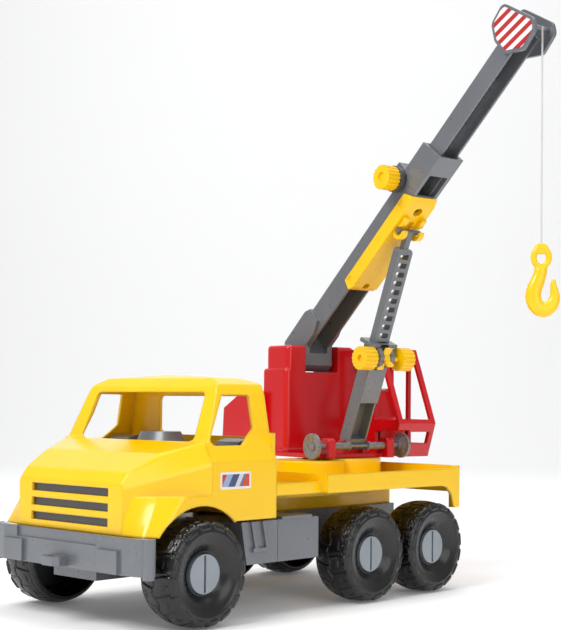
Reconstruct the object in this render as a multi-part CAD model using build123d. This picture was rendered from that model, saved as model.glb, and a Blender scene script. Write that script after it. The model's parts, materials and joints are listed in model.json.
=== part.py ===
from build123d import *
import os
from math import atan2, cos, degrees, hypot, pi, radians, sin

# Toy mobile crane truck.  While modelling: X to the truck's front, Y to its left, Z up, millimetres,
# with Z = 0 on the ground.  At the end every piece moves so that the origin is the bottom centre
# of the box round everything but the hoist cord and its hook.

os.makedirs("parts", exist_ok=True)

# ---- driving dimensions -------------------------------------------------------------------
TYRE_R = 46.0
TYRE_IN = 76.0             # inner face of a tyre, from the centre plane
TYRE_OUT = 118.0           # outer face of a tyre
FRONT_AXLE_X = 148.6
MID_AXLE_X = -70.0
REAR_AXLE_X = -168.0
AXLE_R = 3.0
HUB_CAP_R = 16.9
RUN_GAP = 0.06             # radial clearance of a shaft that turns in its hole
PART_GAP = 0.4             # air between pieces that pass each other

CAB_REAR_X = 58.0
NOSE_X = 208.0
CAB_HALF = 107.0
CAB_BOTTOM_Z = 88.0
WALL = 3.0
STICKER = 0.4

DECK_HALF = 113.0
DECK_REAR_X = -212.0
DECK_STEP_X = -4.0
DECK_FLOOR_Z = 116.0       # top of the deck's floor
DRUM_R = 42.0
FAIRING_X = -102.0         # the round fairing in front of the drum
FAIRING_R = 37.5
FAIRING_TOP_Z = 132.2
DRUM_TOP_Z = 133.5
PIVOT_R = 14.0             # the stub that the turret turns on

TURRET_X = -153.5          # the slewing axis
HEADING = 80.0             # degrees from the truck's front towards its left
TURRET_Z = DRUM_TOP_Z + PART_GAP
HOUSE_FLOOR_Z = 138.5
HOUSE_TOP_Z = 254.0
HOUSE_FRONT = -36.0        # along the boom's heading, from the slewing axis
HOUSE_BACK = -77.0
HOUSE_HALF = 46.5
NOTCH_HALF = 22.7
NOTCH_Z = 225.0

BOOM_PIVOT = (-53.6, 237.5)     # along the heading, height
BOOM_ANGLE = 41.0
BOOM_PIN_R = 3.5
BOOM_LOW = 4.0             # underside and top of the outer boom, above the pivot line
BOOM_HIGH = 29.5
BOOM_HALF = 14.5
COLLAR_HALF = 16.0         # the outer boom's end collar and knob housing
BORE_HALF = 12.1           # the hollow that the inner boom slides in
BRACKET_HALF = 17.0
BOOM_END = 291.0
KNOB_ALONG = 238.0
KNOB_HIGH = 32.2
BOOM_TEETH = 8
BOOM_RACK_PITCH = 5.0
INNER_HALF = 11.0
INNER_LOW = 6.6
INNER_HIGH = 26.6
INNER_START = 150.0
INNER_END = 436.0
RACK_STROKE = 130.0        # how far the inner boom's row of rack slots runs
HEAD_HALF = 14.5
HEAD_BAR = (448.5, 5.0)

STRUT_FOOT = (17.6, 148.6)
STRUT_TOP = (104.5, 366.0)
CHANNEL_LENGTH = 112.0
LIFT_KNOB_AT = (101.6, 13.8)    # along the strut, in front of its centre line
LADDER_PITCH = 9.47
LADDER_HOLES = 10
LADDER_FIRST = 123.5
STRUT_PIN_R = 2.4
STRUT_PIN_PLAY = 2.5            # the top pin sits loosely in the saddle's hooks
LIFT_TEETH = 4                  # each tooth takes every second hole

OPERATOR_IN = 50.4
OPERATOR_OUT = 103.0

WINCH_AT = (27.0, 146.6)
CORD_R = 0.9
HOOK_RING_Z = 338.7        # top of the hook's ring
CORD_END_Z = HOOK_RING_Z


# ---- shape helpers ------------------------------------------------------------------------
def block(x0, x1, y0, y1, z0, z1):
    return Pos((x0 + x1) / 2, (y0 + y1) / 2, (z0 + z1) / 2) * Box(x1 - x0, y1 - y0, z1 - z0)


def outline(points, radius=0.0):
    face = Polygon(*points, align=None)
    return fillet(face.vertices(), radius) if radius else face


def prism_xz(points, y0, y1, radius=0.0):
    return Pos(0, y0, 0) * extrude(Plane.XZ * outline(points, radius), amount=y0 - y1)


def prism_yz(points, x0, x1, radius=0.0):
    return Pos(x0, 0, 0) * extrude(Plane.YZ * outline(points, radius), amount=x1 - x0)


def prism_xy(points, z0, z1, radius=0.0):
    return Pos(0, 0, z0) * extrude(outline(points, radius), amount=z1 - z0)


def rod_y(x, z, radius, y0, y1):
    return Pos(x, (y0 + y1) / 2, z) * Rot(90, 0, 0) * Cylinder(radius, y1 - y0)


def rod_z(x, y, radius, z0, z1):
    return Pos(x, y, (z0 + z1) / 2) * Cylinder(radius, z1 - z0)


def turned_y(profile, radius=0.0):
    """A piece turned about the Y axis from (distance from the axis, Y) points."""
    return revolve(outline(profile, radius), axis=Axis.Y)


def soften_top(shape, radius):
    """Rounds the edges round the top face."""
    return fillet(shape.faces().sort_by(Axis.Z)[-1].edges(), radius)


def both_sides(shape):
    return shape + mirror(shape, about=Plane.XZ)


def fluted_y(radius, y0, y1, flutes, depth):
    """A knob about the Y axis with round grooves along its rim."""
    knob = rod_y(0, 0, radius, y0, y1)
    for turn in range(flutes):
        angle = 2 * pi * turn / flutes
        knob -= rod_y(radius * cos(angle), radius * sin(angle), depth, y0 - 1, y1 + 1)
    return knob


pieces = {}

# ---- frames of the crane's moving groups -------------------------------------------------------
turret_place = Pos(TURRET_X, 0, 0) * Rot(0, 0, HEADING)
boom_place = turret_place * Pos(BOOM_PIVOT[0], 0, BOOM_PIVOT[1]) * Rot(0, -BOOM_ANGLE, 0)
STRUT_RUN = STRUT_TOP[0] - STRUT_FOOT[0]
STRUT_RISE = STRUT_TOP[1] - STRUT_FOOT[1]
STRUT_LENGTH = hypot(STRUT_RUN, STRUT_RISE)
STRUT_ANGLE = degrees(atan2(STRUT_RISE, STRUT_RUN))
strut_place = turret_place * Pos(STRUT_FOOT[0], 0, STRUT_FOOT[1]) * Rot(0, -STRUT_ANGLE, 0)


# ---- wheels and axles ---------------------------------------------------------------------
def wheel():
    """The left tyre and rim in one moulding, open at the back, on the origin of its axle."""
    profile = [
        (AXLE_R + 0.03, TYRE_IN + 6), (8.0, TYRE_IN + 6), (8.0, 104.0), (30.0, 104.0),
        (38.0, 108.0), (38.0, TYRE_IN), (TYRE_R - 3, TYRE_IN), (TYRE_R, TYRE_IN + 5),
        (TYRE_R, TYRE_OUT - 8), (TYRE_R - 5, TYRE_OUT - 1), (TYRE_R - 11, TYRE_OUT),
        (28.0, 115.0), (20.5, 110.0), (17.3, 107.5), (AXLE_R + 0.03, 107.5),
    ]
    return turned_y(profile)


def hub_cap():
    cap = rod_y(0, 0, HUB_CAP_R, 107.6, 111.5)
    slot = block(-1.2, 1.2, 109.0, 112.0, -HUB_CAP_R + 1.2, HUB_CAP_R - 1.2)
    return cap - slot


for axle_name, axle_x in (("front", FRONT_AXLE_X), ("mid", MID_AXLE_X), ("rear", REAR_AXLE_X)):
    at = Pos(axle_x, 0, TYRE_R)
    pieces[f"axle_{axle_name}"] = at * rod_y(0, 0, AXLE_R, -107.4, 107.4)
    pieces[f"wheel_{axle_name}_left"] = at * wheel()
    pieces[f"wheel_{axle_name}_right"] = mirror(at * wheel(), about=Plane.XZ)
    pieces[f"hub_cap_{axle_name}_left"] = at * hub_cap()
    pieces[f"hub_cap_{axle_name}_right"] = mirror(at * hub_cap(), about=Plane.XZ)


# ---- chassis, bumper and side boxes -----------------------------------------------------------
BEAM_HALF = 30.0
BEAM_TOP_Z = 84.0
BEAM_LOW_Z = 37.0


def chassis_frame():
    """An upside-down channel under the whole truck, with a bearing boss for each axle."""
    beam = block(-206, 200, -BEAM_HALF, BEAM_HALF, BEAM_LOW_Z, BEAM_TOP_Z)
    beam -= block(-207, 197, -BEAM_HALF + WALL, BEAM_HALF - WALL, BEAM_LOW_Z - 1, BEAM_TOP_Z - WALL)
    for axle_x in (FRONT_AXLE_X, MID_AXLE_X, REAR_AXLE_X):
        beam += both_sides(rod_y(axle_x, TYRE_R, 8.0, BEAM_HALF - 1, 70.0))
        beam -= rod_y(axle_x, TYRE_R, AXLE_R + RUN_GAP, -80, 80)
    for cross_x in (-119.0, 20.0, 110.0):
        beam += block(cross_x - 2, cross_x + 2, -BEAM_HALF + 1, BEAM_HALF - 1, BEAM_LOW_Z + 8, BEAM_TOP_Z - 1)
    return beam


def front_bumper():
    low, high = 48.0, 79.0
    plan = [
        (216, -84), (216, 84), (213.5, 98), (209, 108), (204, 111.5), (200.5, 108), (205.5, 97),
        (210, 84), (210, -84), (205.5, -97), (200.5, -108), (204, -111.5), (209, -108), (213.5, -98),
    ]
    bumper = prism_xy(plan, low, high, 1.5)
    bumper -= block(213.8, 217, -64, 50, high - 9, high + 1)
    bumper += both_sides(block(214, 219, 52.5, 80, low + 0.5, low + 20))
    bumper += both_sides(rod_z(206.5, 106.5, 5.0, low - 2.5, high))
    tab = [(214, -12), (226, -12), (230, -7), (230, 7), (226, 12), (214, 12)]
    bumper += prism_xy(tab, 50, 58, 1.5)
    bumper -= rod_z(223.5, 0, 3.5, 49, 59)
    bumper += both_sides(block(200, 211, 20, 28, 52, 76))
    return bumper


def side_box():
    """The step and tank box between the front and middle wheels, on the left."""
    low, high, out = 48.0, 86.0, 104.0
    front = 52.5
    box = block(-2, front, BEAM_HALF + PART_GAP, out, low, high)
    box -= block(-2 + WALL, front - WALL, BEAM_HALF - 1, out - WALL, low + WALL, high - WALL)
    flare = [(front + 0.5, low), (92, low), (99, high), (front + 0.5, high)]
    fore = prism_xz(flare, BEAM_HALF + PART_GAP, out, 1.0)
    cave = [(front + 3.5, low + WALL), (89, low + WALL), (95, high - WALL), (front + 3.5, high - WALL)]
    fore -= prism_xz(cave, BEAM_HALF - 1, out - WALL)
    for rib_x in (66.0, 80.0):
        rib = [(rib_x, low + 14), (rib_x + 3.5, low + 14), (rib_x + 9, high), (rib_x + 5.5, high)]
        fore += prism_xz(rib, out - 1, out + 2.5)
    fore += block(66, 86, out - 1, out + 2.5, low + 11, low + 14.5)
    box += block(8, 48, out - 20, out + 1.0, high - 0.5, high + 2.5)
    return fore + box + block(front - 0.5, front + 1, BEAM_HALF + PART_GAP, out - 1.2, low + 1, high - 1)


pieces["chassis_frame"] = chassis_frame()
pieces["front_bumper"] = front_bumper()
pieces["side_box_left"] = side_box()
pieces["side_box_right"] = mirror(side_box(), about=Plane.XZ)


# ---- cab ---------------------------------------------------------------------------------
ARCH_R = 57.0
FENDER_LOW_Z = 79.0


def cab_block(inset):
    """The cab's outer form, or its hollow when drawn in by the wall."""
    rear = CAB_REAR_X + inset
    nose = NOSE_X - inset
    low = FENDER_LOW_Z - 10 if inset else FENDER_LOW_Z
    side = [
        (rear, low), (nose, low), (nose - 0.5, 122 - inset), (nose - 8, 131.5 - inset),
        (172, 147 - inset), (134 - inset, 157.5 - inset), (115 - inset, 205 - inset),
        (106 - inset, 213 - inset), (95, 216 - inset), (80, 216 - inset), (rear, 209 - inset),
    ]
    half = CAB_HALF - inset
    front = [
        (-half, low - 9), (half, low - 9), (half, 140), (half - 9, 160), (half - 17, 199 - inset),
        (half - 21, 207.5 - inset), (half - 34, 213 - inset), (0, 216.5 - inset), (34 - half, 213 - inset),
        (21 - half, 207.5 - inset), (17 - half, 199 - inset), (9 - half, 160), (-half, 140),
    ]
    cabin = prism_xz(side, -130, 130, 3.5) & prism_yz(front, rear - 5, 137, 3.5)
    below = low - 12
    bonnet_front = [(-72.5 + inset, below), (72.5 - inset, below), (72.5 - inset, 118),
                    (67 - inset, 134 - inset), (inset - 67, 134 - inset), (inset - 72.5, 118)]
    bonnet_rear = [(-half, below), (half, below), (half, 138), (95 - inset, 160 - inset),
                   (inset - 95, 160 - inset), (-half, 138)]
    hood_rear = Plane.YZ.offset(136) * outline(bonnet_rear, 7.0)
    hood_front = Plane.YZ.offset(nose) * outline(bonnet_front, 7.0)
    hood = loft([hood_rear, hood_front], ruled=True)
    hood = prism_xz(side, -130, 130, 3.5) & hood
    fender_low = [(130, -half), (195 - inset, -half), (205 - inset, -96), (nose, -74 + inset),
                  (nose, 74 - inset), (205 - inset, 96), (195 - inset, half), (130, half)]
    fender_high = [(130, -half), (168 - inset, -half), (186 - inset, -93), (nose - 4, -71 + inset),
                   (nose - 4, 71 - inset), (186 - inset, 93), (168 - inset, half), (130, half)]
    fender_foot = Plane.XY.offset(low) * outline(fender_low, 7.0)
    fender_top = Plane.XY.offset(112 - inset) * outline(fender_high, 7.0)
    fender = loft([fender_foot, fender_top], ruled=True)
    return cabin + hood + fender


def cab_shell():
    shell = cab_block(0.0) - cab_block(WALL)
    arch = rod_y(FRONT_AXLE_X, TYRE_R, ARCH_R, 60, 130)
    shell -= arch + mirror(arch, about=Plane.XZ)
    shell -= block(CAB_REAR_X - 5, FRONT_AXLE_X - 40, -130, 130, 60, CAB_BOTTOM_Z)
    window = [(111, 198), (77.5, 198), (77.5, 168), (95.5, 153.5), (129.6, 153.5), (133, 157.5)]
    shell -= prism_xz(window, -130, 130, 2.5)
    windshield = [(-79, 156.5), (79, 156.5), (75.5, 200), (-75.5, 200)]
    shell -= prism_yz(windshield, 105, 160, 5.0)
    rear_window = [(-50, 160), (78, 160), (78, 197), (-50, 197)]
    shell -= prism_yz(rear_window, CAB_REAR_X - 5, CAB_REAR_X + 10, 5.0)
    for slot_z in (114.3, 101.5, 88.7):
        shell -= block(198, 220, -54, 54, slot_z - 3.5, slot_z + 3.5)
    panel = [(150, 148), (176, 139.5), (176, 143), (150, 155)]
    shell += prism_xz(panel, -36, 36) & cab_block(0.0)
    belt = block(CAB_REAR_X - 1.8, CAB_REAR_X + WALL, -CAB_HALF + 4, CAB_HALF - 4, CAB_BOTTOM_Z, 164)
    return shell + (belt - block(CAB_REAR_X - 5, CAB_REAR_X + 10, -50, 78, 160, 170))


def seat_row():
    """The moulded shelf with two seats and the hump between them, on legs inside the cab."""
    tray = block(66, 126, -92, 92, 149, 152)
    seat = [(70, 151), (92, 151), (90, 156), (80, 158.5), (70, 158.5)]
    tray += both_sides(prism_xz(seat, 62, 90, 1.5))
    hump = Plane.XY.offset(151) * Pos(90, -15) * Ellipse(21, 28)
    hump_top = Plane.XY.offset(163.5) * Pos(90, -15) * Ellipse(16, 22)
    tray += loft([hump, hump_top])
    legs = both_sides(block(90, 94, 86, 90, 90, 150))
    return tray + legs


pieces["cab_shell"] = cab_shell()
pieces["cab_interior"] = seat_row()
pieces["grille_panel"] = block(NOSE_X - 6.6, NOSE_X - 3.6, -58, 58, 84.5, 118)
door_face = [(91, 116), (128, 116), (128, 131), (91, 131)]
pieces["door_sticker_left"] = prism_xz(door_face, CAB_HALF, CAB_HALF + STICKER, 2.0)
pieces["door_sticker_right"] = mirror(pieces["door_sticker_left"], about=Plane.XZ)


# ---- deck --------------------------------------------------------------------------------
def deck_bed():
    floor_low = DECK_FLOOR_Z - 3
    bed = block(DECK_REAR_X, DECK_STEP_X, -DECK_HALF, DECK_HALF, floor_low, DECK_FLOOR_Z)
    bed += block(DECK_STEP_X - 1, 56, -105, 105, floor_low, DECK_FLOOR_Z)
    skirt = [
        (DECK_REAR_X, 84), (-203, 84), (-199, 97), (-190, 106), (-180, 107.5), (DECK_STEP_X, 107.5),
        (DECK_STEP_X, 125), (-205, 125), (-205, 127.6), (DECK_REAR_X, 127.6),
    ]
    bed += both_sides(prism_xz(skirt, DECK_HALF - WALL, DECK_HALF))
    bed += block(DECK_STEP_X - WALL, DECK_STEP_X, -DECK_HALF, DECK_HALF, 107.5, 125)
    bed += both_sides(block(DECK_STEP_X - 1, 56, 102, 105, 107.5, 118.5))
    tail = block(DECK_REAR_X, DECK_REAR_X + WALL, -DECK_HALF, DECK_HALF, 100, 127.6)
    posts = both_sides(block(DECK_REAR_X, DECK_REAR_X + 8, DECK_HALF - 8, DECK_HALF, 84, 127.6))
    bed += tail + posts
    bed += block(-125, 40, -62, 62, 100, floor_low + 0.5)
    bed -= block(-122, 37, -59, 59, 99, floor_low - 1.5)
    bed += both_sides(block(-206, 40, 20, 24, BEAM_TOP_Z, floor_low + 0.5))
    bed += rod_z(TURRET_X, 0, DRUM_R, DECK_FLOOR_Z - 0.5, DRUM_TOP_Z)
    bed += rod_z(FAIRING_X, 0, FAIRING_R, DECK_FLOOR_Z - 0.5, FAIRING_TOP_Z)
    bed -= rod_z(FAIRING_X, 0, FAIRING_R - 4, DECK_FLOOR_Z + 0.5, FAIRING_TOP_Z - WALL)
    bed -= rod_z(TURRET_X, 0, DRUM_R - 4, DECK_FLOOR_Z + 0.5, DRUM_TOP_Z - 3.5)
    bed += rod_z(TURRET_X, 0, PIVOT_R + 4, 105, DRUM_TOP_Z - 1)
    bed -= rod_z(TURRET_X, 0, PIVOT_R + RUN_GAP, 95, DRUM_TOP_Z + 1)
    return bed


pieces["deck_bed"] = deck_bed()


# ---- turret ------------------------------------------------------------------------------
def turret_base():
    """The slewing base: floor plate, the pivot stub that goes through the drum, and the lugs."""
    plate = prism_xy([(-142, -60), (-78, -60), (-78, -OPERATOR_IN), (24, -OPERATOR_IN),
                      (24, OPERATOR_IN), (-78, OPERATOR_IN), (-78, 60), (-142, 60)],
                     TURRET_Z, HOUSE_FLOOR_Z, 1.5)
    plate += rod_z(0, 0, PIVOT_R, 101.5, TURRET_Z + 1)
    plate -= rod_z(0, 0, PIVOT_R - 3, 100, TURRET_Z - 1)
    lug = [(14, TURRET_Z), (34, TURRET_Z), (34, 152), (31, 155), (23, 155), (20, 152)]
    plate += both_sides(prism_xz(lug, 35.5, 44.5))
    foot = [(6, HOUSE_FLOOR_Z - 1), (21, HOUSE_FLOOR_Z - 1), (21, 152.6), (13.6, 152.6)]
    plate += both_sides(prism_xz(foot, 12.3, 16.5, 1.0))
    plate -= rod_y(WINCH_AT[0], WINCH_AT[1], 2.5 + RUN_GAP, -50, 50)
    plate -= rod_y(STRUT_FOOT[0], STRUT_FOOT[1], 2.0, -20, 20)
    return plate


def turret_retainer():
    """The screwed-on disc that keeps the turret in its drum, with its screw boss."""
    disc = rod_z(0, 0, PIVOT_R + 6, 98.0, 101.5)
    return disc + rod_z(0, 0, PIVOT_R - 3.1, 101, 112)


def house_form(inset):
    """The machinery house's outer form, or its hollow when drawn in by the wall."""
    low = HOUSE_FLOOR_Z - 1 if inset else HOUSE_FLOOR_Z
    half = HOUSE_HALF - inset
    tower = prism_xy([(HOUSE_BACK + inset, -half), (HOUSE_FRONT - inset, -half),
                      (HOUSE_FRONT - inset, half), (HOUSE_BACK + inset, half)], low, HOUSE_TOP_Z - inset, 6.0)
    tower = soften_top(tower, 4.0 - inset)
    wide = half + 2.5
    skirt = prism_xy([(HOUSE_BACK - 4 + inset, -wide), (HOUSE_FRONT - inset, -wide),
                      (HOUSE_FRONT - inset, wide), (HOUSE_BACK - 4 + inset, wide)], low, 229 - inset, 6.0)
    skirt = soften_top(skirt, 3.5 - inset)
    tail_half = 60.0 - inset
    tail = [(-142 + inset, low), (HOUSE_BACK, low), (HOUSE_BACK, 204 - inset), (-108, 201 - inset),
            (-139 + inset, 185 - inset)]
    return tower + skirt + prism_xz(tail, -tail_half, tail_half, 2.0)


def turret_housing():
    walls = 2.5
    notch = block(HOUSE_BACK - 20, HOUSE_FRONT + 5, -NOTCH_HALF, NOTCH_HALF, NOTCH_Z, HOUSE_TOP_Z + 5)
    lining = block(HOUSE_BACK - 20, HOUSE_FRONT + 5, -NOTCH_HALF - walls, NOTCH_HALF + walls,
                   NOTCH_Z - walls, HOUSE_TOP_Z + 5)
    house = house_form(0.0) - (house_form(walls) - lining) - notch
    band_front = HOUSE_FRONT + 1.2
    band_plan = [(HOUSE_BACK, -50.2), (band_front, -50.2), (band_front, 50.2), (HOUSE_BACK, 50.2)]
    bands = prism_xy(band_plan, HOUSE_FLOOR_Z, 142, 5.0)
    house += bands - block(HOUSE_BACK - 5, HOUSE_FRONT - 1, -48, 48, 130, 150)
    house += both_sides(rod_y(BOOM_PIVOT[0], BOOM_PIVOT[1], 7.0, NOTCH_HALF, NOTCH_HALF + 8))
    house -= rod_y(BOOM_PIVOT[0], BOOM_PIVOT[1], BOOM_PIN_R + 0.01, -NOTCH_HALF - 6, NOTCH_HALF + 6)
    return house


def operator_cab():
    """The open-sided driver's cab hung on the left of the house: floor, bars, roof and nose."""
    base_z = TURRET_Z
    side = [(-76, base_z), (24, base_z), (36.4, 170.5), (3.5, HOUSE_TOP_Z - 2), (-76, HOUSE_TOP_Z - 2)]
    cab = prism_xz(side, OPERATOR_IN, OPERATOR_OUT)
    inner = [(-72, base_z + 4.5), (21.5, base_z + 4.5), (32.4, 170.5), (0.8, HOUSE_TOP_Z - 6),
             (-72, HOUSE_TOP_Z - 6)]
    cab -= prism_xz(inner, OPERATOR_IN + 4, OPERATOR_OUT - 4)
    for y0, y1 in ((OPERATOR_IN - 1, OPERATOR_IN + 5), (OPERATOR_OUT - 5, OPERATOR_OUT + 1)):
        rear_bay = [(-38, 174.5), (-38, HOUSE_TOP_Z - 6), (-68, HOUSE_TOP_Z - 6), (-68, 174.5)]
        mid_bay = [(-34, 174.5), (-9, 174.5), (-9, HOUSE_TOP_Z - 6), (-34, HOUSE_TOP_Z - 6)]
        front_bay = [(-4.5, 174.5), (30.2, 174.5), (0.2, HOUSE_TOP_Z - 6), (-4.5, HOUSE_TOP_Z - 6)]
        low_bay = [(-4, 148.5), (22, 148.5), (26, 161), (-4, 161)]
        for bay in (rear_bay, mid_bay, front_bay, low_bay):
            cab -= prism_xz(bay, y0, y1, 1.0)
    cab -= block(-30, 60, OPERATOR_IN + 6, OPERATOR_OUT - 6, 174.5, HOUSE_TOP_Z - 9)
    cab -= block(-20, 60, OPERATOR_IN + 6, OPERATOR_OUT - 6, 148.5, 161)
    cab -= block(8, 60, OPERATOR_IN - 5, 67, TURRET_Z - 5, 163)
    return cab


def operator_seat():
    profile = [(-34, TURRET_Z + 4.7), (-4, TURRET_Z + 4.7), (-4, 171), (-12, 175), (-18, 176), (-24, 206),
               (-31, 209), (-38, 205), (-38, 170)]
    return prism_xz(profile, 58, 94, 2.0)


pieces["turret_base"] = turret_place * turret_base()
pieces["turret_retainer"] = turret_place * turret_retainer()
pieces["turret_housing"] = turret_place * turret_housing()
pieces["operator_cab"] = turret_place * operator_cab()
pieces["operator_seat"] = turret_place * operator_seat()
boom_pin = rod_y(BOOM_PIVOT[0], BOOM_PIVOT[1], BOOM_PIN_R, -NOTCH_HALF - 6, NOTCH_HALF + 6)
pieces["boom_pivot_pin"] = turret_place * boom_pin
pieces["strut_pivot_pin"] = turret_place * rod_y(STRUT_FOOT[0], STRUT_FOOT[1], 2.0, -16.5, 16.5)


# ---- winch -------------------------------------------------------------------------------
def winch_shaft():
    shaft = rod_y(0, 0, 1.6, -62, 62)
    shaft += both_sides(rod_y(0, 0, 2.5, 33.0, 54.4))
    shaft += both_sides(rod_y(0, 0, 3.8, 13.4, 35.0))
    return shaft + both_sides(rod_y(0, 0, 5.0, 12.3, 14.2))


def winch_wheel():
    profile = [(1.65, 54.5), (4.5, 54.5), (4.5, 57), (10, 59), (13.6, 59.5), (13.6, 62.5), (12.2, 63.0),
               (4.0, 60.8), (4.0, 62.0), (1.65, 62.0)]
    return turned_y(profile)


winch_spot = turret_place * Pos(WINCH_AT[0], 0, WINCH_AT[1])
pieces["winch_shaft"] = winch_spot * winch_shaft()
pieces["winch_wheel_left"] = winch_spot * winch_wheel()
pieces["winch_wheel_right"] = winch_spot * mirror(winch_wheel(), about=Plane.XZ)


# ---- boom --------------------------------------------------------------------------------
def channel(x0, x1, half, low, high, wall):
    """A box section along X that is open underneath."""
    beam = block(x0, x1, -half, half, low, high)
    return beam - block(x0 - 1, x1 + 1, -half + wall, half - wall, low - 1, high - wall)


def boom_outer():
    boom = channel(8, BOOM_END - 3, BOOM_HALF, BOOM_LOW, BOOM_HIGH, 2.4)
    heel = [(-10, -6), (-4, -11), (6, -11), (12, -3), (20, 5.5), (36, 5.5), (44, 8), (52, 12),
            (52, BOOM_HIGH), (43, 34), (-6, 34), (-11, 28)]
    flare = prism_xz(heel, -18.6, 18.6)
    boom += flare - block(14, 60, -BORE_HALF, BORE_HALF, -12, 27)
    collar_side = [(243, BOOM_LOW - 2), (294, BOOM_LOW - 2), (288, BOOM_HIGH + 1.5), (252, BOOM_HIGH + 1.5)]
    collar = prism_xz(collar_side, -COLLAR_HALF, COLLAR_HALF)
    collar -= block(230, 300, -BORE_HALF, BORE_HALF, BOOM_LOW, BOOM_HIGH - 1)
    collar -= block(244, 270, -11.8, 11.8, 0, 6)
    boom += collar
    knob_case = [(224, 27), (252, 27), (252, 43.5), (228, 43.5), (224, 36)]
    boom += prism_xz(knob_case, -COLLAR_HALF, COLLAR_HALF, 2.0)
    boom -= block(229.5, 246.5, -5.6, 5.6, 20, 41)
    boom -= rod_y(KNOB_ALONG, KNOB_HIGH, 3.0 + RUN_GAP, -30, 30)
    boom -= rod_y(0, 0, BOOM_PIN_R + RUN_GAP, -30, 30)
    return boom


def strut_pin_on_boom():
    """Where the strut's top pin lies, along the boom and above its pivot line."""
    run, rise = STRUT_TOP[0] - BOOM_PIVOT[0], STRUT_TOP[1] - BOOM_PIVOT[1]
    slope = radians(BOOM_ANGLE)
    return run * cos(slope) + rise * sin(slope), rise * cos(slope) - run * sin(slope)


def boom_bracket():
    """The clip-on saddle under the outer boom that the lifting strut pushes on."""
    side = [(111, 1), (243, 1), (236, 13), (113, 13)]
    saddle = prism_xz(side, -BRACKET_HALF, BRACKET_HALF, 1.0)
    saddle -= block(100, 250, -BOOM_HALF - 0.1, BOOM_HALF + 0.1, BOOM_LOW - 0.1, 20)
    keel = [(111, 1.5), (118, -2), (234, -2), (243, 1.5)]
    saddle += prism_xz(keel, -BRACKET_HALF, BRACKET_HALF)
    for hole_x, radius in ((226.0, 5.0), (120.0, 4.0)):
        saddle -= rod_z(hole_x, 0, radius, -10, 10)
        saddle -= both_sides(block(hole_x - 3.5, hole_x + 3.5, BRACKET_HALF - 1, 20, 4.5, 10.5))
    pin_x, pin_z = strut_pin_on_boom()
    saddle -= block(pin_x - 9, pin_x + 9, -4.2, 4.2, -3, 0.8)
    hooks = rod_y(pin_x, pin_z, 8.6, 8.0, 14.0) + block(pin_x - 6, pin_x + 16, 8.0, 14.0, pin_z, 0)
    hooks -= rod_y(pin_x, pin_z, STRUT_PIN_R + STRUT_PIN_PLAY, 7.0, 15.0)
    hooks -= Pos(pin_x, 0, pin_z) * Rot(0, 25, 0) * block(0, 14, 7, 15, -2.8, 2.8)
    return saddle + both_sides(hooks)


def toothed_wheel(root, tip, teeth, half_width, thickness, phase):
    """A pinion about Y with flat teeth, the first pointing down and turned by the phase."""
    gear = rod_y(0, 0, root, -half_width, half_width)
    for turn in range(teeth):
        tooth = block(-thickness / 2, thickness / 2, -half_width, half_width, -tip, 0)
        gear += Rot(0, 360.0 * turn / teeth + phase, 0) * tooth
    return gear


def boom_knob():
    knob = fluted_y(12.4, -37.5, -22.6, 20, 1.0)
    knob -= rod_y(0, 0, 5.0, -38.5, -35.5)
    shaft = rod_y(0, 0, 3.0, -24, 18)
    return knob + shaft + toothed_wheel(4.2, 7.6, BOOM_TEETH, 4.0, 1.6, 0.0)


def knob_flange():
    return rod_y(0, 0, 13.2, -22.0, -16.5) - rod_y(0, 0, 3.0 + RUN_GAP, -30, 0)


knob_spot = boom_place * Pos(KNOB_ALONG, 0, KNOB_HIGH)
pieces["boom_outer"] = boom_place * boom_outer()
pieces["boom_bracket"] = boom_place * boom_bracket()
pieces["boom_knob"] = knob_spot * boom_knob()
pieces["boom_knob_flange"] = knob_spot * knob_flange()


def boom_inner():
    inner = channel(INNER_START, INNER_END, INNER_HALF, INNER_LOW, INNER_HIGH, 2.2)
    for tooth_x in range(int(INNER_START) + 10, int(INNER_END) - 30, 6):
        wall_face = -INNER_HALF + 1.5
        tooth = [(tooth_x, wall_face), (tooth_x + 5, wall_face), (tooth_x + 2.5, wall_face + 3.5)]
        inner += prism_xy(tooth, INNER_LOW + 1.5, INNER_HIGH - 6)
    cheek = [(442, 48), (420, 45), (412, 29), (412, 10), (429, -6.5), (451, -4), (456, 6)]
    head = prism_xz(cheek, -HEAD_HALF, HEAD_HALF, 7.0)
    gap = [(397, -20), (470, -20), (470, 60), (445, 60), (433, 38), (397, 24)]
    head -= prism_xz(gap, -INNER_HALF, INNER_HALF)
    inner += head
    inner -= rod_y(HEAD_BAR[0], HEAD_BAR[1], 2.0, -HEAD_HALF + 1, HEAD_HALF - 1)
    slot_count = int(RACK_STROKE / BOOM_RACK_PITCH) + 6
    for slot in range(slot_count):
        slot_x = KNOB_ALONG + (slot - 4) * BOOM_RACK_PITCH
        inner -= block(slot_x - 1.6, slot_x + 1.6, -4.6, 4.6, INNER_HIGH - 3, INNER_HIGH + 1)
    return inner


def head_sticker():
    face = [(440.5, 45), (422, 42.5), (415, 28), (415, 11), (430, -3.5), (449, -1.5), (453, 6.5)]
    return prism_xz(face, HEAD_HALF, HEAD_HALF + STICKER, 6.0)


pieces["boom_inner"] = boom_place * boom_inner()
pieces["head_bar"] = boom_place * rod_y(HEAD_BAR[0], HEAD_BAR[1], 2.0, -HEAD_HALF + 1, HEAD_HALF - 1)
pieces["head_sticker_left"] = boom_place * head_sticker()
pieces["head_sticker_right"] = boom_place * mirror(head_sticker(), about=Plane.XZ)


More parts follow.
